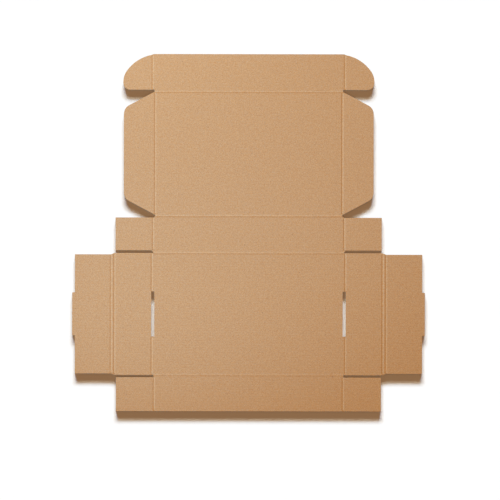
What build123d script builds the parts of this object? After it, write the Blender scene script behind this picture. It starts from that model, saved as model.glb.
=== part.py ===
from build123d import *
import os
from math import radians, tan

# A roll-end tuck-front mailer box, laid out flat: one sheet of thin corrugated board, die cut and
# creased, seen from its inside face. All sizes are in millimetres.
# Frame: X runs along the box's length, +Y points to the lid's tuck flap, +Z up. The sheet lies on
# Z = 0, and the origin is the middle of the blank's bounding box.

# The sheet
board_thickness = 1.5

# Panels down the middle of the blank, from crease to crease
tuck_height = 51.3
lid_depth = 168.9
back_height = 50.3
bottom_depth = 165.9
front_height = 49.2
bottom_length = 263.0

# How far each pair of flap creases stands in from the bottom's two side creases
ear_crease_inset = 0.8
wing_crease_inset = 4.2
back_tab_crease_inset = 1.5
front_tab_crease_inset = 3.0

# Side walls, which roll over the corner tabs and lock into the bottom
outer_wall_height = 50.9
roll_width = 4.6
inner_wall_height = 49.1
inner_wall_inset = 2.0
lock_tab_length = 58.4
lock_tab_reach = 3.7
lock_tab_corner = 1.0

# Slots in the bottom that take the lock tabs
slot_end_clearance = 1.35
slot_width = 4.15
slot_outset = 0.7

# Ears of the tuck flap
ear_reach = 39.9
ear_base_gap = 2.8
ear_top_drop = 1.1
ear_step_width = 2.4
ear_corner_radius = 9.5
ear_side_length = 2.0
ear_shoulder_radius = 24.0
ear_shoulder_turn = 35.0
ear_notch_setback = 1.0

# Wings of the lid
wing_reach = 42.5
wing_slant = 28.0
wing_foot_gap = 1.6
wing_corner_radius = 13.0

# Corner tabs of the back wall and of the front wall
back_tab_reach = 51.0
back_tab_top_gap = 2.1
back_slit_width = 3.7
back_slit_lean = 1.9
front_tab_reach = 51.7
front_slit_width = 3.1
slit_overrun = 2.3

# Creases pressed into the inside face
crease_width = 3.2
crease_depth = 0.5
crease_end_gap = 0.5

# Crease and edge lines across the blank, from the front edge up to the tuck flap's edge
blank_depth = front_height + bottom_depth + back_height + lid_depth + tuck_height
front_edge_y = -blank_depth / 2
front_crease_y = front_edge_y + front_height
back_crease_y = front_crease_y + bottom_depth
lid_crease_y = back_crease_y + back_height
tuck_crease_y = lid_crease_y + lid_depth
tuck_edge_y = tuck_crease_y + tuck_height

# Crease and edge lines on the right-hand half; the left-hand half mirrors them
side_crease_x = bottom_length / 2
ear_crease_x = side_crease_x - ear_crease_inset
wing_crease_x = side_crease_x - wing_crease_inset
back_tab_crease_x = side_crease_x - back_tab_crease_inset
front_tab_crease_x = side_crease_x - front_tab_crease_inset
roll_inner_x = side_crease_x + outer_wall_height
roll_outer_x = roll_inner_x + roll_width
inner_edge_x = roll_outer_x + inner_wall_height
slit_end_x = side_crease_x - slit_overrun
ear_notch_x = wing_crease_x + ear_notch_setback
wing_edge_x = wing_crease_x + wing_reach

# Tuck flap with its two round-shouldered ears
ear_base_y = tuck_crease_y + ear_base_gap
ear_edge_x = ear_crease_x + ear_reach
with BuildSketch() as tuck_band:
    with BuildLine():
        base = Polyline(
            (0, tuck_crease_y),
            (ear_notch_x, tuck_crease_y),
            (ear_notch_x, ear_base_y),
            (ear_edge_x - ear_corner_radius, ear_base_y),
        )
        corner = JernArc(base @ 1, base % 1, ear_corner_radius, 90)
        side = Line(corner @ 1, corner @ 1 + (0, ear_side_length))
        shoulder = JernArc(side @ 1, side % 1, ear_shoulder_radius, ear_shoulder_turn)
        brow = TangentArc(
            shoulder @ 1,
            (ear_crease_x + ear_step_width / 2, tuck_edge_y - ear_top_drop),
            tangent=shoulder % 1,
        )
        Polyline(
            brow @ 1,
            (ear_crease_x - ear_step_width / 2, tuck_edge_y),
            (0, tuck_edge_y),
            (0, tuck_crease_y),
        )
    make_face()
    mirror(about=Plane.YZ)

# Lid with its two wings, which taper outward at both ends
wing_fall = tan(radians(wing_slant))
with BuildSketch() as lid_band:
    with BuildLine():
        Polyline(
            (0, lid_crease_y),
            (wing_crease_x, lid_crease_y),
            (wing_crease_x, lid_crease_y + wing_foot_gap),
            (wing_edge_x, lid_crease_y + wing_foot_gap + wing_reach * wing_fall),
            (wing_edge_x, tuck_crease_y - (wing_edge_x - ear_notch_x) * wing_fall),
            (ear_notch_x, tuck_crease_y),
            (0, tuck_crease_y),
            close=True,
        )
    make_face()
    fillet(lid_band.vertices().group_by(Axis.X)[-1], radius=wing_corner_radius)
    mirror(about=Plane.YZ)

# Back wall with the corner tabs that turn inward behind the side walls
back_tab_edge_x = back_tab_crease_x + back_tab_reach
back_tab_low_y = back_crease_y + back_slit_width
back_tab_top_y = lid_crease_y - back_tab_top_gap
with BuildSketch() as back_band:
    with BuildLine():
        Polyline(
            (0, back_crease_y),
            (slit_end_x, back_crease_y),
            (back_tab_crease_x + back_slit_lean, back_tab_low_y),
            (back_tab_edge_x, back_tab_low_y),
            (back_tab_edge_x, back_tab_top_y),
            (slit_end_x, back_tab_top_y),
            (wing_crease_x, lid_crease_y),
            (0, lid_crease_y),
            close=True,
        )
    make_face()
    mirror(about=Plane.YZ)

# Bottom with a side wall on each side: outer wall, roll-over strip, inner wall and lock tab
lock_tab_y = (front_crease_y + back_crease_y) / 2
slot_length = lock_tab_length + 2 * slot_end_clearance
roll_low_y = front_crease_y + inner_wall_inset
roll_top_y = back_crease_y - inner_wall_inset
with BuildSketch() as bottom_band:
    with BuildLine():
        Polyline(
            (0, front_crease_y),
            (roll_inner_x, front_crease_y),
            (roll_outer_x, roll_low_y),
            (inner_edge_x, roll_low_y),
            (inner_edge_x, lock_tab_y - lock_tab_length / 2),
            (inner_edge_x + lock_tab_reach, lock_tab_y - lock_tab_length / 2),
            (inner_edge_x + lock_tab_reach, lock_tab_y + lock_tab_length / 2),
            (inner_edge_x, lock_tab_y + lock_tab_length / 2),
            (inner_edge_x, roll_top_y),
            (roll_outer_x, roll_top_y),
            (roll_inner_x, back_crease_y),
            (0, back_crease_y),
            close=True,
        )
    make_face()
    fillet(bottom_band.vertices().group_by(Axis.X)[-1], radius=lock_tab_corner)
    mirror(about=Plane.YZ)

# Front wall with its corner tabs, flush with the front edge
front_tab_edge_x = front_tab_crease_x + front_tab_reach
front_tab_top_y = front_crease_y - front_slit_width
with BuildSketch() as front_band:
    with BuildLine():
        Polyline(
            (0, front_edge_y),
            (front_tab_edge_x, front_edge_y),
            (front_tab_edge_x, front_tab_top_y),
            (slit_end_x, front_tab_top_y),
            (slit_end_x, front_crease_y),
            (0, front_crease_y),
            close=True,
        )
    make_face()
    mirror(about=Plane.YZ)

# Cross creases: each runs from one side crease's line to the other's, past the ends of the slits
cross_creases = [tuck_crease_y, lid_crease_y, back_crease_y, front_crease_y]

# Upright creases, each as its place and its two ends; all of them are pressed again at minus x.
# An upright rule stops just short of the cut edges at its ends, and at the slots.
wing_end_gap = crease_width / 2 * wing_fall + crease_end_gap
roll_inner_gap = inner_wall_inset / 2 + crease_end_gap
upright_creases = [
    (ear_crease_x, ear_base_y + crease_end_gap, tuck_edge_y - ear_top_drop - crease_end_gap),
    (wing_crease_x, lid_crease_y + wing_foot_gap + wing_end_gap, tuck_crease_y - wing_end_gap),
    (back_tab_crease_x, back_tab_low_y + crease_end_gap, back_tab_top_y - crease_end_gap),
    (side_crease_x, lock_tab_y + slot_length / 2 + crease_end_gap, back_crease_y - crease_end_gap),
    (side_crease_x, front_crease_y + crease_end_gap, lock_tab_y - slot_length / 2 - crease_end_gap),
    (roll_inner_x, front_crease_y + roll_inner_gap, back_crease_y - roll_inner_gap),
    (roll_outer_x, roll_low_y + crease_end_gap, roll_top_y - crease_end_gap),
    (front_tab_crease_x, front_edge_y + crease_end_gap, front_tab_top_y - crease_end_gap),
]

# A crease is the groove that a round-nosed rule leaves: its radius follows from width and depth
rule_radius = (crease_width**2 / 4 + crease_depth**2) / (2 * crease_depth)
rule_axis_z = board_thickness - crease_depth + rule_radius

with BuildPart() as mailer_blank:
    with BuildSketch():
        for band in (tuck_band, lid_band, back_band, bottom_band, front_band):
            add(band.sketch)
        slot_x = side_crease_x + slot_outset - slot_width / 2
        with Locations((slot_x, lock_tab_y), (-slot_x, lock_tab_y)):
            Rectangle(slot_width, slot_length, mode=Mode.SUBTRACT)
    extrude(amount=board_thickness)

    for crease_y in cross_creases:
        with BuildSketch(Plane((0, crease_y, rule_axis_z), z_dir=(1, 0, 0))):
            Circle(rule_radius)
        extrude(amount=side_crease_x, both=True, mode=Mode.SUBTRACT)

    for crease_x, low_y, high_y in upright_creases:
        for x in (crease_x, -crease_x):
            with BuildSketch(Plane((x, low_y, rule_axis_z), z_dir=(0, 1, 0))):
                Circle(rule_radius)
            extrude(amount=high_y - low_y, mode=Mode.SUBTRACT)

os.makedirs("parts", exist_ok=True)
mailer_blank.part.label = "mailer_blank"
export_step(mailer_blank.part, "parts/mailer_blank.step")
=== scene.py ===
"""A mailer box of thin kraft corrugated board, laid out flat on a white table and seen from above."""

import logging
import math
from dataclasses import dataclass, field
from enum import Enum

import bpy
import numpy as np
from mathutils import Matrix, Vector


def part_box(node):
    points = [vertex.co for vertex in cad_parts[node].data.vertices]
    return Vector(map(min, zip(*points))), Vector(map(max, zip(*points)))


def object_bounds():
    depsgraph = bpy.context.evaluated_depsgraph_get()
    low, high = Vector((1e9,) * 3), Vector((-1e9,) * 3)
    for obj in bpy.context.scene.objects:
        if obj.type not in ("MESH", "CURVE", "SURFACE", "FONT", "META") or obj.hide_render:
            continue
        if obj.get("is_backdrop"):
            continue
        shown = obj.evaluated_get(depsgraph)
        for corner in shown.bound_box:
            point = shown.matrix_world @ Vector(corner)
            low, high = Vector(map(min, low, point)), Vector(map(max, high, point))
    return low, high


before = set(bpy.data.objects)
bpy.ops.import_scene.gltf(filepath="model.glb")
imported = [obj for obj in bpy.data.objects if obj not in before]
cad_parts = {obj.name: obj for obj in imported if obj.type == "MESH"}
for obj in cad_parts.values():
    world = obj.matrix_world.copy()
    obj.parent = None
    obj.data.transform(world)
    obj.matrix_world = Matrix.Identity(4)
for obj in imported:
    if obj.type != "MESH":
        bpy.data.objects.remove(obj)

log = logging.getLogger("mailer_blank")

Colour = tuple[float, float, float]
Point = tuple[float, float, float]
Pair = tuple[float, float]

MM = 0.001
CLOUD_MEAN = 0.5


class Blend(Enum):
    """How one colour is laid over another."""

    MIX = "MIX"
    MULTIPLY = "MULTIPLY"


class Sum(Enum):
    """The arithmetic that a pattern is made of."""

    ADD = "ADD"
    SUBTRACT = "SUBTRACT"
    MULTIPLY = "MULTIPLY"
    MINIMUM = "MINIMUM"
    ABSOLUTE = "ABSOLUTE"
    COSINE = "COSINE"
    GREATER = "GREATER_THAN"


class Split(Enum):
    """What three numbers are, and the node that takes them apart."""

    POINT = "ShaderNodeSeparateXYZ"
    COLOUR = "ShaderNodeSeparateColor"


@dataclass
class PatternBench:
    """Lays out the nodes of one material or world.

    Attributes:
        tree: The node tree that the nodes go into.
        fine_share: How strong each finer layer of a cloudy pattern is next to the layer before it.
    """

    tree: bpy.types.NodeTree
    fine_share: float = 0.55

    def add(self, kind: str, **values: object) -> bpy.types.Node:
        """Add a node and set its options.

        Args:
            kind: The node's type, such as "ShaderNodeBump".
            **values: Options of the node, by name.

        Returns:
            The new node.
        """
        node = self.tree.nodes.new(kind)
        for name, value in values.items():
            setattr(node, name, value)
        return node

    def feed(self, socket: bpy.types.NodeSocket, value: object) -> None:
        """Link a socket to another node's output, or set it to a plain value."""
        if isinstance(value, bpy.types.NodeSocket):
            self.tree.links.new(value, socket)
        else:
            socket.default_value = value

    def sum(self, kind: Sum, first: object, second: object = 0.0) -> bpy.types.NodeSocket:
        """Work out one number from one or two.

        Args:
            kind: The arithmetic to do.
            first: A socket or a number.
            second: A socket or a number, left out where the arithmetic takes one.

        Returns:
            The socket that holds the result.
        """
        node = self.add("ShaderNodeMath", operation=kind.value)
        self.feed(node.inputs[0], first)
        self.feed(node.inputs[1], second)
        return node.outputs[0]

    def spread(self, value: object, low: float, high: float, to: Pair) -> bpy.types.NodeSocket:
        """Carry a number from the range low to high into another range, smoothly and held at its ends.

        Args:
            value: The socket to read.
            low: Where the first end of the new range is reached.
            high: Where the second end is reached.
            to: The two ends of the new range.

        Returns:
            The socket that holds the result.
        """
        node = self.add("ShaderNodeMapRange", interpolation_type="SMOOTHSTEP")
        self.feed(node.inputs["Value"], value)
        node.inputs["From Min"].default_value = low
        node.inputs["From Max"].default_value = high
        node.inputs["To Min"].default_value = to[0]
        node.inputs["To Max"].default_value = to[1]
        return node.outputs["Result"]

    def stretch(self, place: object, patch: Point, lie: float) -> bpy.types.NodeSocket:
        """Stretch and turn coordinates, so that a pattern's patches come out at a given size.

        Args:
            place: The coordinates.
            patch: The size of a patch along X, Y and Z, in metres.
            lie: The angle about Z that the patches are turned by, in degrees.

        Returns:
            The socket that holds the new coordinates.
        """
        mapping = self.add("ShaderNodeMapping", vector_type="TEXTURE")
        self.feed(mapping.inputs["Vector"], place)
        mapping.inputs["Rotation"].default_value = (0.0, 0.0, math.radians(lie))
        mapping.inputs["Scale"].default_value = patch
        return mapping.outputs["Vector"]

    def cloudy(
        self, place: object, patch: Point, detail: float, lie: float = 0.0, three: bool = False
    ) -> bpy.types.NodeSocket:
        """Make a cloudy pattern.

        Args:
            place: The coordinates that it follows.
            patch: The size of a patch along X, Y and Z, in metres.
            detail: How many finer layers are laid over it.
            lie: The angle about Z that the patches are turned by, in degrees.
            three: Whether it makes three patterns at once, and not one.

        Returns:
            The socket that holds the pattern, whose mean is CLOUD_MEAN.
        """
        node = self.add("ShaderNodeTexNoise", noise_dimensions="3D")
        self.feed(node.inputs["Vector"], self.stretch(place, patch, lie))
        node.inputs["Scale"].default_value = 1.0
        node.inputs["Detail"].default_value = detail
        node.inputs["Roughness"].default_value = self.fine_share
        return node.outputs[1 if three else 0]

    def cells(self, place: object, patch: Point, lie: float = 0.0) -> bpy.types.Node:
        """Make a pattern of cells, each with three random numbers of its own, from 0 to 1.

        Args:
            place: The coordinates that it follows.
            patch: The size of a cell along X, Y and Z, in metres.
            lie: The angle about Z that the cells are turned by, in degrees.

        Returns:
            The node that gives the three numbers and the distance from a cell's middle.
        """
        node = self.add("ShaderNodeTexVoronoi", feature="F1", voronoi_dimensions="3D")
        self.feed(node.inputs["Vector"], self.stretch(place, patch, lie))
        node.inputs["Scale"].default_value = 1.0
        return node

    def split(self, kind: Split, three: object) -> bpy.types.NodeOutputs:
        """Take three numbers apart.

        Args:
            kind: What the three numbers are.
            three: The socket that holds them.

        Returns:
            The sockets that hold them one by one.
        """
        node = self.add(kind.value)
        self.feed(node.inputs[0], three)
        return node.outputs

    def push(self, base: object, pattern: bpy.types.NodeSocket, reach: Point) -> bpy.types.NodeSocket:
        """Push three numbers about: each plus the reach times what the pattern has over its mean.

        Args:
            base: The coordinates or the colour to push.
            pattern: Three cloudy patterns at once.
            reach: How far each of them pushes.

        Returns:
            The socket that holds the three numbers.
        """
        over = self.add("ShaderNodeVectorMath", operation="SUBTRACT")
        self.feed(over.inputs[0], pattern)
        over.inputs[1].default_value = (CLOUD_MEAN, CLOUD_MEAN, CLOUD_MEAN)
        node = self.add("ShaderNodeVectorMath", operation="MULTIPLY_ADD")
        self.feed(node.inputs[0], over.outputs[0])
        node.inputs[1].default_value = reach
        self.feed(node.inputs[2], base)
        return node.outputs[0]

    def lay(self, kind: Blend, share: object, under: object, over: object) -> bpy.types.NodeSocket:
        """Lay one colour over another.

        Args:
            kind: How the colours join.
            share: How much of the upper colour shows, from 0 to 1.
            under: The lower colour, four numbers or a socket.
            over: The upper colour, four numbers or a socket.

        Returns:
            The socket that holds the colour.
        """
        node = self.add("ShaderNodeMix", data_type="RGBA", blend_type=kind.value)
        self.feed(node.inputs["Factor"], share)
        self.feed(node.inputs["A"], under)
        self.feed(node.inputs["B"], over)
        return node.outputs["Result"]

    def raised(self, pattern: object, height: float) -> bpy.types.Node:
        """Shade a surface as if it were raised by the height times the pattern.

        Args:
            pattern: The socket that holds the pattern.
            height: How far a pattern of 1 raises the surface, in metres.

        Returns:
            The node that gives the shaded direction.
        """
        node = self.add("ShaderNodeBump")
        node.inputs["Strength"].default_value = 1.0
        node.inputs["Distance"].default_value = height
        self.feed(node.inputs["Height"], pattern)
        return node


def clear_bench(owner: bpy.types.Material | bpy.types.World) -> PatternBench:
    """Switch on the nodes of a material or a world and clear them.

    Args:
        owner: The material or the world.

    Returns:
        The bench that lays out its new nodes.
    """
    owner.use_nodes = True
    owner.node_tree.nodes.clear()
    return PatternBench(owner.node_tree)


def opaque(colour: Colour) -> tuple[float, float, float, float]:
    """Give a colour its full cover."""
    return (*colour, 1.0)


@dataclass(frozen=True)
class FluteBoard:
    """The inside of the board: a wavy paper between two flat ones, with its flutes along X.

    Attributes:
        thickness: The whole board, in metres.
        liner: Each flat paper, in metres.
        medium: Half of the wavy paper, in metres.
        pitch: From one flute to the next, in metres.
        medium_edge: How wide the wavy paper's edge blurs into the painted shade of an open flute, in
            metres.
        liner_edge: How wide a flat paper's edge does, in metres.
    """

    thickness: float = 1.5 * MM
    liner: float = 0.22 * MM
    medium: float = 0.10 * MM
    pitch: float = 3.33 * MM
    medium_edge: float = 0.06 * MM
    liner_edge: float = 0.05 * MM

    def wave(self, bench: PatternBench, along_y: object) -> bpy.types.NodeSocket:
        """Make the wave of the flutes: the cosine of a full turn for each pitch of travel along Y."""
        turn = bench.sum(Sum.MULTIPLY, along_y, 2 * math.pi / self.pitch)
        return bench.sum(Sum.COSINE, turn)

    def open_flute_shade(self, bench: PatternBench, height: object, wave: object) -> bpy.types.NodeSocket:
        """Find the open flutes between the wavy paper and the flat ones on a cut edge, where shade is
        painted.

        The wavy paper's middle height is half the board plus the flute wave times its reach; an open flute
        is where the height lies further from it than half its paper, and inside the two liners.

        Args:
            bench: Where the nodes go.
            height: The coordinate along Z alone.
            wave: The wave of the flutes.

        Returns:
            The socket that is 1 in an open flute, where shade is painted, and 0 on paper.
        """
        middle = self.thickness / 2
        reach = middle - self.liner - self.medium
        crest = bench.sum(Sum.ADD, bench.sum(Sum.MULTIPLY, wave, reach), middle)
        to_medium = bench.sum(Sum.ABSOLUTE, bench.sum(Sum.SUBTRACT, height, crest))
        off_medium = bench.spread(to_medium, self.medium, self.medium + self.medium_edge, (0.0, 1.0))
        to_middle = bench.sum(Sum.ABSOLUTE, bench.sum(Sum.SUBTRACT, height, middle))
        liner_face = middle - self.liner
        off_liner = bench.spread(to_middle, liner_face - self.liner_edge, liner_face, (1.0, 0.0))
        return bench.sum(Sum.MULTIPLY, off_medium, off_liner)


@dataclass(frozen=True)
class FibreClumps:
    """Small ragged clumps of fibre, each with a tone and a cast of its own.

    The clumps are long cells, whose edges a cloudy pattern frays. A speckle a few times coarser than
    the cells gathers them.

    Attributes:
        size: A clump's size along X, Y and Z, in metres.
        lie: The angle about Z that the clumps are turned by, in degrees.
        fray: The patches of the pattern that frays their edges, in metres.
        fray_detail: How many finer layers that pattern has.
        fray_reach: How far it pushes the edges, in metres.
        speckle: The patches of the speckle, in metres.
        speckle_reach: How much of the tone and of the cast the speckle changes.
    """

    size: Point = (0.18 * MM, 0.50 * MM, 0.32 * MM)
    lie: float = 58.0
    fray: Point = (0.30 * MM, 0.30 * MM, 0.30 * MM)
    fray_detail: float = 2.0
    fray_reach: Point = (0.55 * MM, 0.55 * MM, 0.55 * MM)
    speckle: Point = (1.60 * MM, 1.80 * MM, 1.60 * MM)
    speckle_reach: Point = (0.9, 0.3, 0.0)

    def tone_and_cast(
        self, bench: PatternBench, place: object
    ) -> tuple[bpy.types.NodeSocket, bpy.types.NodeSocket]:
        """Break the paper into clumps.

        Args:
            bench: Where the nodes go.
            place: The object's own coordinates.

        Returns:
            The sockets that hold the tone and the cast, each for the most part from 0 to 1.
        """
        fray = bench.cloudy(place, self.fray, self.fray_detail, three=True)
        speckle = bench.cloudy(place, self.speckle, 0.0, three=True)
        ragged = bench.push(place, fray, self.fray_reach)
        cells = bench.cells(ragged, self.size, self.lie)
        numbers = bench.split(Split.COLOUR, bench.push(cells.outputs["Color"], speckle, self.speckle_reach))
        return numbers[0], numbers[1]


@dataclass(frozen=True)
class PatchyStain:
    """A colour that shows where a cloudy pattern rises over a level.

    Attributes:
        patch: The size of a patch along X, Y and Z, in metres.
        lie: The angle about Z that the patches are turned by, in degrees.
        detail: How many finer layers the pattern has.
        rise: The levels of the pattern at which the colour starts to show and shows most.
        most: How much of the colour shows there, from 0 to 1.
    """

    patch: Point
    lie: float
    detail: float
    rise: Pair
    most: float

    def share(self, bench: PatternBench, place: object) -> bpy.types.NodeSocket:
        """Make the socket that says how much of the colour shows."""
        level = bench.cloudy(place, self.patch, self.detail, self.lie)
        return bench.spread(level, *self.rise, (0.0, self.most))


@dataclass(frozen=True)
class BarkFlecks:
    """Rare dark specks: the middles of a few cells of a cell pattern.

    Attributes:
        spacing: The size of a cell along X, Y and Z, in metres.
        bare: The share of the cells that have no speck.
        rim: Where a speck starts to fade and where it ends, from its middle, as shares of a cell.
        most: How much of its colour shows in its middle, from 0 to 1.
    """

    spacing: Point = (5.0 * MM, 6.0 * MM, 5.0 * MM)
    bare: float = 0.86
    rim: Pair = (0.05, 0.14)
    most: float = 0.55

    def share(self, bench: PatternBench, place: object) -> bpy.types.NodeSocket:
        """Choose the cells that have a speck, and draw it in the middle of each.

        Args:
            bench: Where the nodes go.
            place: The object's own coordinates.

        Returns:
            The socket that says how much of the specks' colour shows.
        """
        cells = bench.cells(place, self.spacing)
        chosen = bench.sum(Sum.GREATER, bench.split(Split.COLOUR, cells.outputs["Color"])[0], self.bare)
        middle = bench.spread(cells.outputs["Distance"], *self.rim, (self.most, 0.0))
        return bench.sum(Sum.MULTIPLY, chosen, middle)


@dataclass(frozen=True)
class PaperRelief:
    """The faint ribs that the flutes raise in the paper, and the paper's own tooth.

    Attributes:
        rib_height: How far the wave of the flutes lifts and lowers the paper, in metres.
        tooth: The patches of the tooth along X, Y and Z, in metres.
        tooth_detail: How many finer layers the tooth has.
        tooth_height: Its height, in metres.
    """

    rib_height: float = 0.006 * MM
    tooth: Point = (0.35 * MM, 0.9 * MM, 0.5 * MM)
    tooth_detail: float = 4.0
    tooth_height: float = 0.03 * MM

    def shade(self, bench: PatternBench, place: object, wave: object) -> bpy.types.NodeSocket:
        """Raise the ribs and the tooth.

        Args:
            bench: Where the nodes go.
            place: The object's own coordinates.
            wave: The wave of the flutes.

        Returns:
            The socket that holds the shaded direction.
        """
        ribs = bench.raised(wave, self.rib_height)
        tooth = bench.raised(bench.cloudy(place, self.tooth, self.tooth_detail), self.tooth_height)
        bench.feed(tooth.inputs["Normal"], ribs.outputs["Normal"])
        return tooth.outputs["Normal"]


@dataclass(frozen=True)
class KraftFinish:
    """Unbleached brown kraft paper over fluted board.

    Attributes:
        board: The flutes under the paper, which show at the cut edges.
        clumps: The clumps of fibre that give the paper its grain.
        pale_threads: Where the palest fibres lie on top.
        dark_threads: Where the darkest fibres lie on top.
        clouds: Where the paper is a little darker over a wide patch.
        flecks: Where the rare dark specks are.
        relief: The paper's ribs and tooth.
        pale_fibre: The colour of its palest fibres.
        dark_fibre: The colour of its darkest fibres.
        red_cast: What tints the clumps with more bark in them.
        green_cast: What tints the clumps with less bark in them.
        painted_trough_shade: Painted shade over the troughs of the flutes, for raking light on the ribs.
        painted_crease_light: Painted light that makes the bottoms of the creases a little paler against
            their shade.
        fleck: The colour of the dark specks.
        hollow_shade: The painted shade that shows inside a cut flute.
        trough_shade_fade: Where along Y the painted flute shade starts and stops fading, in metres.
        trough_shade_share: How much of the painted flute shade shows in front of that stretch and how much
            behind it.
        sunk: How far under the paper's face a crease is sunk fully and where it starts, in metres.
        lies_level: How much a face has to point up to count as the paper's face: in part, and fully.
        stands_up: How much a face may point up to count as a cut edge: fully, and in part.
        rough: How matt the paper is, from 0 to 1.
        gloss: How much it mirrors, from 0 to 1.
    """

    board: FluteBoard = FluteBoard()
    clumps: FibreClumps = FibreClumps()
    pale_threads: PatchyStain = PatchyStain(
        patch=(0.16 * MM, 1.7 * MM, 1.0 * MM), lie=12.0, detail=2.0, rise=(0.55, 0.78), most=0.20
    )
    dark_threads: PatchyStain = PatchyStain(
        patch=(0.20 * MM, 1.3 * MM, 1.0 * MM), lie=-58.0, detail=2.0, rise=(0.56, 0.80), most=0.20
    )
    clouds: PatchyStain = PatchyStain(
        patch=(14 * MM, 22 * MM, 14 * MM), lie=0.0, detail=3.0, rise=(0.30, 0.70), most=0.02
    )
    flecks: BarkFlecks = BarkFlecks()
    relief: PaperRelief = PaperRelief()
    pale_fibre: Colour = (0.641, 0.438, 0.273)
    dark_fibre: Colour = (0.517, 0.264, 0.111)
    red_cast: Colour = (1.122, 1.045, 0.884)
    green_cast: Colour = (0.893, 0.960, 1.129)
    painted_trough_shade: Colour = (0.990, 0.950, 0.885)
    painted_crease_light: Colour = (1.025, 1.035, 1.040)
    fleck: Colour = (0.200, 0.095, 0.045)
    hollow_shade: Colour = (0.105, 0.052, 0.026)
    trough_shade_fade: Pair = (-40 * MM, 20 * MM)
    trough_shade_share: Pair = (0.66, 0.20)
    sunk: Pair = (0.45 * MM, 0.01 * MM)
    lies_level: Pair = (0.1, 0.5)
    stands_up: Pair = (0.30, 0.50)
    rough: float = 0.88
    gloss: float = 0.2

    def paper_colour(
        self, bench: PatternBench, place: object, along_y: object, wave: object
    ) -> bpy.types.NodeSocket:
        """Mix the paper's colour from clumps, threads, clouds, painted flute shade and specks.

        The painted shade over the flute troughs stands in for raking light on the ribs. It shows most on
        the bottom and the walls in front of it, and least on the lid.

        Args:
            bench: Where the nodes go.
            place: The object's own coordinates.
            along_y: The coordinate along Y alone.
            wave: The wave of the flutes.

        Returns:
            The socket that holds the colour.
        """
        tone, cast = self.clumps.tone_and_cast(bench, place)
        colour = bench.lay(Blend.MIX, tone, opaque(self.dark_fibre), opaque(self.pale_fibre))
        tint = bench.lay(Blend.MIX, cast, opaque(self.green_cast), opaque(self.red_cast))
        colour = bench.lay(Blend.MULTIPLY, 1.0, colour, tint)

        stains = (
            (self.pale_threads, self.pale_fibre),
            (self.dark_threads, self.dark_fibre),
            (self.clouds, self.dark_fibre),
        )
        for stain, fibre in stains:
            colour = bench.lay(Blend.MIX, stain.share(bench, place), colour, opaque(fibre))

        # Painted shade: the paper is darkened over the flute troughs, as raking light on the ribs would
        # shade it.
        trough_shade_share = bench.spread(along_y, *self.trough_shade_fade, self.trough_shade_share)
        trough_shade = bench.sum(Sum.MULTIPLY, bench.spread(wave, -1.0, 1.0, (0.0, 1.0)), trough_shade_share)
        colour = bench.lay(Blend.MULTIPLY, trough_shade, colour, opaque(self.painted_trough_shade))
        return bench.lay(Blend.MIX, self.flecks.share(bench, place), colour, opaque(self.fleck))

    def creases(self, bench: PatternBench, height: object, upward: object) -> bpy.types.NodeSocket:
        """Find the bottoms of the creases, where painted light is laid: upward faces that lie under the
        level of the top liner.

        Args:
            bench: Where the nodes go.
            height: The coordinate along Z alone.
            upward: How much the surface points up, from -1 to 1.

        Returns:
            The socket that is 1 at the bottom of a crease and 0 on the flat sheet.
        """
        top = self.board.thickness
        deep, shallow = self.sunk
        painted_crease_light = bench.spread(height, top - deep, top - shallow, (1.0, 0.0))
        level = bench.spread(upward, *self.lies_level, (0.0, 1.0))
        return bench.sum(Sum.MULTIPLY, painted_crease_light, level)

    def material(self, name: str) -> bpy.types.Material:
        """Build the material.

        Args:
            name: The material's name.

        Returns:
            The material, ready for a slot.
        """
        made = bpy.data.materials.new(name)
        bench = clear_bench(made)
        coordinates = bench.add("ShaderNodeTexCoord")
        place = coordinates.outputs["Object"]
        parts = bench.split(Split.POINT, place)
        upward = bench.split(Split.POINT, coordinates.outputs["Normal"])["Z"]
        wave = self.board.wave(bench, parts["Y"])

        # Painted shade: the open flutes on the cut edges are filled with a dark colour.
        cut_edge = bench.spread(bench.sum(Sum.ABSOLUTE, upward), *self.stands_up, (1.0, 0.0))
        hollow_shade = bench.sum(Sum.MULTIPLY, cut_edge, self.board.open_flute_shade(bench, parts["Z"], wave))
        # Painted light: the bottoms of the creases are made a little paler against their shade.
        crease = self.creases(bench, parts["Z"], upward)
        colour = self.paper_colour(bench, place, parts["Y"], wave)
        colour = bench.lay(Blend.MULTIPLY, crease, colour, opaque(self.painted_crease_light))
        colour = bench.lay(Blend.MIX, hollow_shade, colour, opaque(self.hollow_shade))

        shader = bench.add("ShaderNodeBsdfPrincipled")
        bench.feed(shader.inputs["Base Color"], colour)
        shader.inputs["Roughness"].default_value = self.rough
        shader.inputs["Specular IOR Level"].default_value = self.gloss
        bench.feed(shader.inputs["Normal"], self.relief.shade(bench, place, wave))
        out = bench.add("ShaderNodeOutputMaterial")
        bench.feed(out.inputs["Surface"], shader.outputs["BSDF"])
        return made


@dataclass(frozen=True)
class TableFinish:
    """The table's even white top.

    Attributes:
        colour: The colour of the top.
    """

    colour: Colour = (0.90, 0.90, 0.90)

    def material(self, name: str) -> bpy.types.Material:
        """Build the material.

        Args:
            name: The material's name.

        Returns:
            The material, ready for a slot.
        """
        made = bpy.data.materials.new(name)
        bench = clear_bench(made)
        shader = bench.add("ShaderNodeBsdfDiffuse")
        shader.inputs["Color"].default_value = opaque(self.colour)
        out = bench.add("ShaderNodeOutputMaterial")
        bench.feed(out.inputs["Surface"], shader.outputs["BSDF"])
        return made


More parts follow.
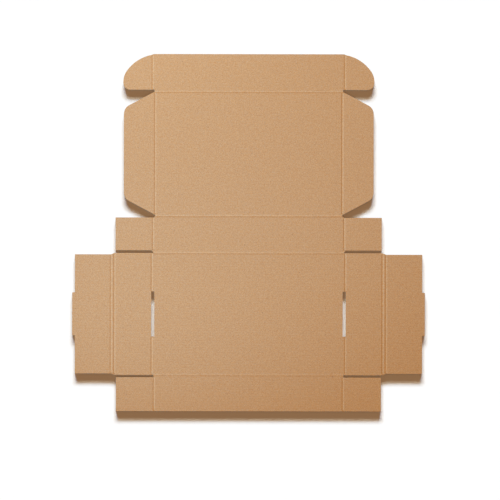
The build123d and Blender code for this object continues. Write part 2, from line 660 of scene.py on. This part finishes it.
@dataclass
class MailerBlank:
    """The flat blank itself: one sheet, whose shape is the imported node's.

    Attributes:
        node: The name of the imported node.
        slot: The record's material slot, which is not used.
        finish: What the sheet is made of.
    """

    node: str = "mailer_blank"
    slot: str = "kraft_board"
    finish: KraftFinish = field(default_factory=KraftFinish)

    def dress(self) -> bpy.types.Object:
        """Give the sheet its finish.

        Returns:
            The sheet's object.
        """
        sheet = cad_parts[self.node]
        sheet.data.materials.clear()
        sheet.data.materials.append(self.finish.material("kraft_board_paper"))
        low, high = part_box(self.node)
        log.info("%s: %.1f by %.1f by %.2f mm", self.node, *((high - low) / MM))
        return sheet


@dataclass
class TableTop:
    """The table that the sheet lies on.

    Attributes:
        reach: Half the table's width, in metres.
        gap: How far the top lies under the sheet's lowest face, in metres.
        steps: How many squares the top has along a side.
        finish: What the top is made of.
    """

    reach: float = 4.0
    gap: float = 0.01 * MM
    steps: int = 4
    finish: TableFinish = field(default_factory=TableFinish)

    def build(self) -> bpy.types.Object:
        """Make the top: a flat square grid, each point a row and a column times the step.

        Returns:
            The table's object.
        """
        line = np.linspace(-self.reach, self.reach, self.steps + 1)
        x, y = np.meshgrid(line, line)
        low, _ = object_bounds()
        points = np.stack([x, y, np.full_like(x, low.z - self.gap)], axis=-1).reshape(-1, 3)
        number = np.arange(points.shape[0]).reshape(x.shape)
        corners = (number[:-1, :-1], number[:-1, 1:], number[1:, 1:], number[1:, :-1])
        faces = np.stack(corners, axis=-1).reshape(-1, 4)
        mesh = bpy.data.meshes.new("table_top")
        mesh.from_pydata(points.tolist(), [], faces.tolist())
        mesh.materials.append(self.finish.material("white_table"))
        table = bpy.data.objects.new("table_top", mesh)
        bpy.context.scene.collection.objects.link(table)
        table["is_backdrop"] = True
        log.info("table_top: %d squares", len(faces))
        return table


def lit_only(name: str, receiver: bpy.types.Object) -> bpy.types.Collection:
    """Make the group of things that a lamp lights.

    Args:
        name: The group's name.
        receiver: The one thing in it.

    Returns:
        The group.
    """
    group = bpy.data.collections.new(name)
    group.objects.link(receiver)
    return group


def shade(adds: Colour) -> Colour:
    """Scale a colour so that its largest number is 1."""
    return tuple(value / max(adds) for value in adds)


def sun_lamp(
    name: str, adds: Colour, azimuth: float, elevation: float, softness: float, share: int = 1
) -> bpy.types.Object:
    """Set up a sun by what it adds to a level white surface.

    A sun of strength S at height e lights a level surface by S sin(e), and a white one sends 1 / pi of
    that back.

    Args:
        name: The lamp's name.
        adds: What it adds, where 1 is white.
        azimuth: Where the light comes from, in degrees from +Y towards +X.
        elevation: How high it stands above the table, in degrees.
        softness: How wide it looks, in degrees.
        share: How many suns add that much together.

    Returns:
        The lamp's object. It shines along its own minus Z.
    """
    sun = bpy.data.lights.new(name, "SUN")
    sun.color = shade(adds)
    sun.energy = max(adds) * math.pi / math.sin(math.radians(elevation)) / share
    sun.angle = math.radians(softness)
    lamp = bpy.data.objects.new(name, sun)
    lamp.rotation_euler = (math.radians(elevation - 90), 0.0, math.radians(-azimuth))
    bpy.context.scene.collection.objects.link(lamp)
    return lamp


@dataclass
class ShadowFan:
    """Low light from beyond the tuck flap, spread over a fan of directions. It lights the table alone.

    The sheet's shadow falls towards the front wall, as long as the board's thickness over the tangent of
    the light's height, and the fan softens its sides. The upper row of suns is warmer than the lower
    one, and the middle of each row is warmer than its ends, so the shadow fades through brown.

    Attributes:
        middle: The compass direction of the fan's middle, in degrees from +Y towards +X.
        half_fan: How far the fan opens to each side, in degrees.
        end_tint: How much more of each colour the ends of a row have than its middle.
        count: How many suns each row has.
        heights: The height of the upper row and of the lower row, in degrees.
        softness: How wide each sun looks, in degrees.
        upper: What the upper row adds to a white table, where 1 is white.
        lower: What the lower row adds.
    """

    middle: float = -2.0
    half_fan: float = 15.0
    end_tint: Colour = (-0.30, 0.0, 0.30)
    count: int = 9
    heights: Pair = (7.95, 5.62)
    softness: float = 2.7
    upper: Colour = (0.208, 0.198, 0.154)
    lower: Colour = (0.635, 0.780, 0.907)

    def build(self, table: bpy.types.Object) -> None:
        """Set up the suns.

        Args:
            table: What they light.
        """
        group = lit_only("lit_by_shadow_fan", table)
        fan = np.linspace(-1.0, 1.0, self.count)
        for height, row_adds in zip(self.heights, (self.upper, self.lower)):
            for place in fan:
                lean = float(place**2 - np.mean(fan**2))
                adds = tuple(value * (1 + tint * lean) for value, tint in zip(row_adds, self.end_tint))
                azimuth = self.middle + self.half_fan * float(place)
                lamp = sun_lamp("shadow_sun", adds, azimuth, height, self.softness, self.count)
                lamp.light_linking.receiver_collection = group
        log.info("shadow fan: two rows of %d suns", self.count)


@dataclass(frozen=True)
class SpotLamp:
    """A lamp that hangs near the sheet, with a beam that fades away towards its rim.

    Attributes:
        name: The lamp's name.
        place: Where it hangs, in metres.
        aim: Where the middle of its beam meets the table, in metres.
        half_beam: The angle between the middle of the beam and its rim, in degrees.
        adds: What a full beam would add to the middle of a white sheet, where 1 is white.
        radius: Its radius, in metres.
    """

    name: str
    place: Point
    aim: Point
    half_beam: float
    adds: Colour
    radius: float = 0.12

    def build(self) -> bpy.types.Object:
        """Set up the lamp.

        In the middle of its beam a lamp of power P lights a level sheet by P / (4 pi) times its height
        over the cube of its distance, and a white sheet sends 1 / pi of that back.

        Returns:
            The lamp's object. It shines along its own minus Z.
        """
        spot = bpy.data.lights.new(self.name, "SPOT")
        spot.shadow_soft_size = self.radius
        spot.spot_size = math.radians(2 * self.half_beam)
        spot.spot_blend = 1.0
        spot.color = shade(self.adds)
        distance = math.dist(self.place, (0.0, 0.0, 0.0))
        spot.energy = 4 * math.pi**2 * max(self.adds) * distance**3 / self.place[2]
        lamp = bpy.data.objects.new(self.name, spot)
        lamp.location = self.place
        beam = Vector(self.aim) - Vector(self.place)
        lamp.rotation_euler = beam.to_track_quat("-Z", "Y").to_euler()
        bpy.context.scene.collection.objects.link(lamp)
        return lamp


@dataclass
class SheetLights:
    """The lamps that light the sheet alone.

    Attributes:
        key: The cool key lamp, out to the left and in front of the front wall, whose beam falls
            across the sheet to the tuck flap.
        lid: The weaker lamp beyond the tuck flap and to its left, whose wide beam fades towards the
            front wall.
        wash_adds: What the warm light from straight above adds.
        rake_adds: What the cool raking light adds.
        rake_azimuth: Where the raking light comes from, in degrees from +Y towards +X.
        rake_elevation: Its height, in degrees.
        softness: How wide the two suns look, in degrees.
    """

    key: SpotLamp = SpotLamp(
        name="key_lamp",
        place=(-0.596, -0.583, 0.623),
        aim=(0.069, 0.237, 0.0),
        half_beam=27.8,
        adds=(0.216, 0.393, 0.578),
    )
    lid: SpotLamp = SpotLamp(
        name="lid_lamp",
        place=(-0.323, 0.540, 0.489),
        aim=(-0.254, 0.693, 0.0),
        half_beam=80.0,
        adds=(0.161, 0.208, 0.225),
    )
    wash_adds: Colour = (0.355, 0.221, 0.001)
    rake_adds: Colour = (0.070, 0.171, 0.278)
    rake_azimuth: float = 244.0
    rake_elevation: float = 26.0
    softness: float = 10.0

    def build(self, sheet: bpy.types.Object) -> None:
        """Set up the lamps.

        Args:
            sheet: What they light.
        """
        group = lit_only("lit_by_sheet_lights", sheet)
        wash = sun_lamp("warm_wash", self.wash_adds, 0.0, 90.0, self.softness)
        rake = sun_lamp("raking_sun", self.rake_adds, self.rake_azimuth, self.rake_elevation, self.softness)
        for lamp in (self.key.build(), self.lid.build(), wash, rake):
            lamp.light_linking.receiver_collection = group
        log.info("sheet lights: two spot lamps, warm wash and raking sun")


@dataclass
class RoomLight:
    """The room around the table: dim and warm for what it lights, white where it is seen.

    Attributes:
        warm: The colour that lights things.
        seen: The colour that the camera and reflections see.
    """

    warm: Colour = (0.298, 0.161, 0.076)
    seen: Colour = (1.0, 1.0, 1.0)

    def build(self) -> None:
        """Set up the world."""
        world = bpy.data.worlds.new("room")
        bench = clear_bench(world)
        ray = bench.add("ShaderNodeLightPath")
        direct = bench.sum(Sum.ADD, ray.outputs["Is Camera Ray"], ray.outputs["Is Glossy Ray"])
        either = bench.sum(Sum.ADD, direct, ray.outputs["Is Transmission Ray"])
        shown = bench.sum(Sum.MINIMUM, either, 1.0)
        glow = bench.add("ShaderNodeBackground")
        bench.feed(glow.inputs["Color"], bench.lay(Blend.MIX, shown, opaque(self.warm), opaque(self.seen)))
        out = bench.add("ShaderNodeOutputWorld")
        bench.feed(out.inputs["Surface"], glow.outputs["Background"])
        bpy.context.scene.world = world


@dataclass
class OverheadCamera:
    """The camera, which looks straight down at the sheet.

    Attributes:
        aim_x: Where its middle looks, along X, in metres.
        aim_y: Where its middle looks, along Y, in metres.
        height: Its height over the sheet, in metres.
        view_width: How wide a strip of the sheet it sees, in metres.
        roll: How far it is turned about its own line of sight, in degrees.
        sensor: Its sensor's width, in millimetres.
    """

    aim_x: float = 1.91 * MM
    aim_y: float = -23.50 * MM
    height: float = 2.5
    view_width: float = 679.89 * MM
    roll: float = 0.103
    sensor: float = 36.0

    def build(self) -> bpy.types.Object:
        """Set up the camera. Its lens is the sensor's width times the height over the width seen.

        Returns:
            The camera's object.
        """
        data = bpy.data.cameras.new("overhead_camera")
        data.sensor_width = self.sensor
        data.lens = self.sensor * self.height / self.view_width
        camera = bpy.data.objects.new("overhead_camera", data)
        bpy.context.scene.collection.objects.link(camera)
        _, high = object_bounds()
        camera.location = (self.aim_x, self.aim_y, high.z + self.height)
        camera.rotation_euler = (0.0, 0.0, math.radians(self.roll))
        bpy.context.scene.camera = camera
        return camera


def corners(bounds: tuple) -> list[list[float]]:
    """Write a box as its lowest and highest corner, in plain numbers."""
    return [[float(value) for value in corner] for corner in bounds]


def main() -> None:
    """Dress the sheet, lay it on its table and light it."""
    logging.basicConfig(level=logging.INFO, format="%(name)s: %(message)s")
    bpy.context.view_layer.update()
    bpy.context.scene.view_settings.view_transform = "Standard"
    OverheadCamera().build()
    sheet = MailerBlank().dress()
    table = TableTop().build()
    ShadowFan().build(table)
    SheetLights().build(sheet)
    RoomLight().build()


if __name__ == "__main__":
    main()
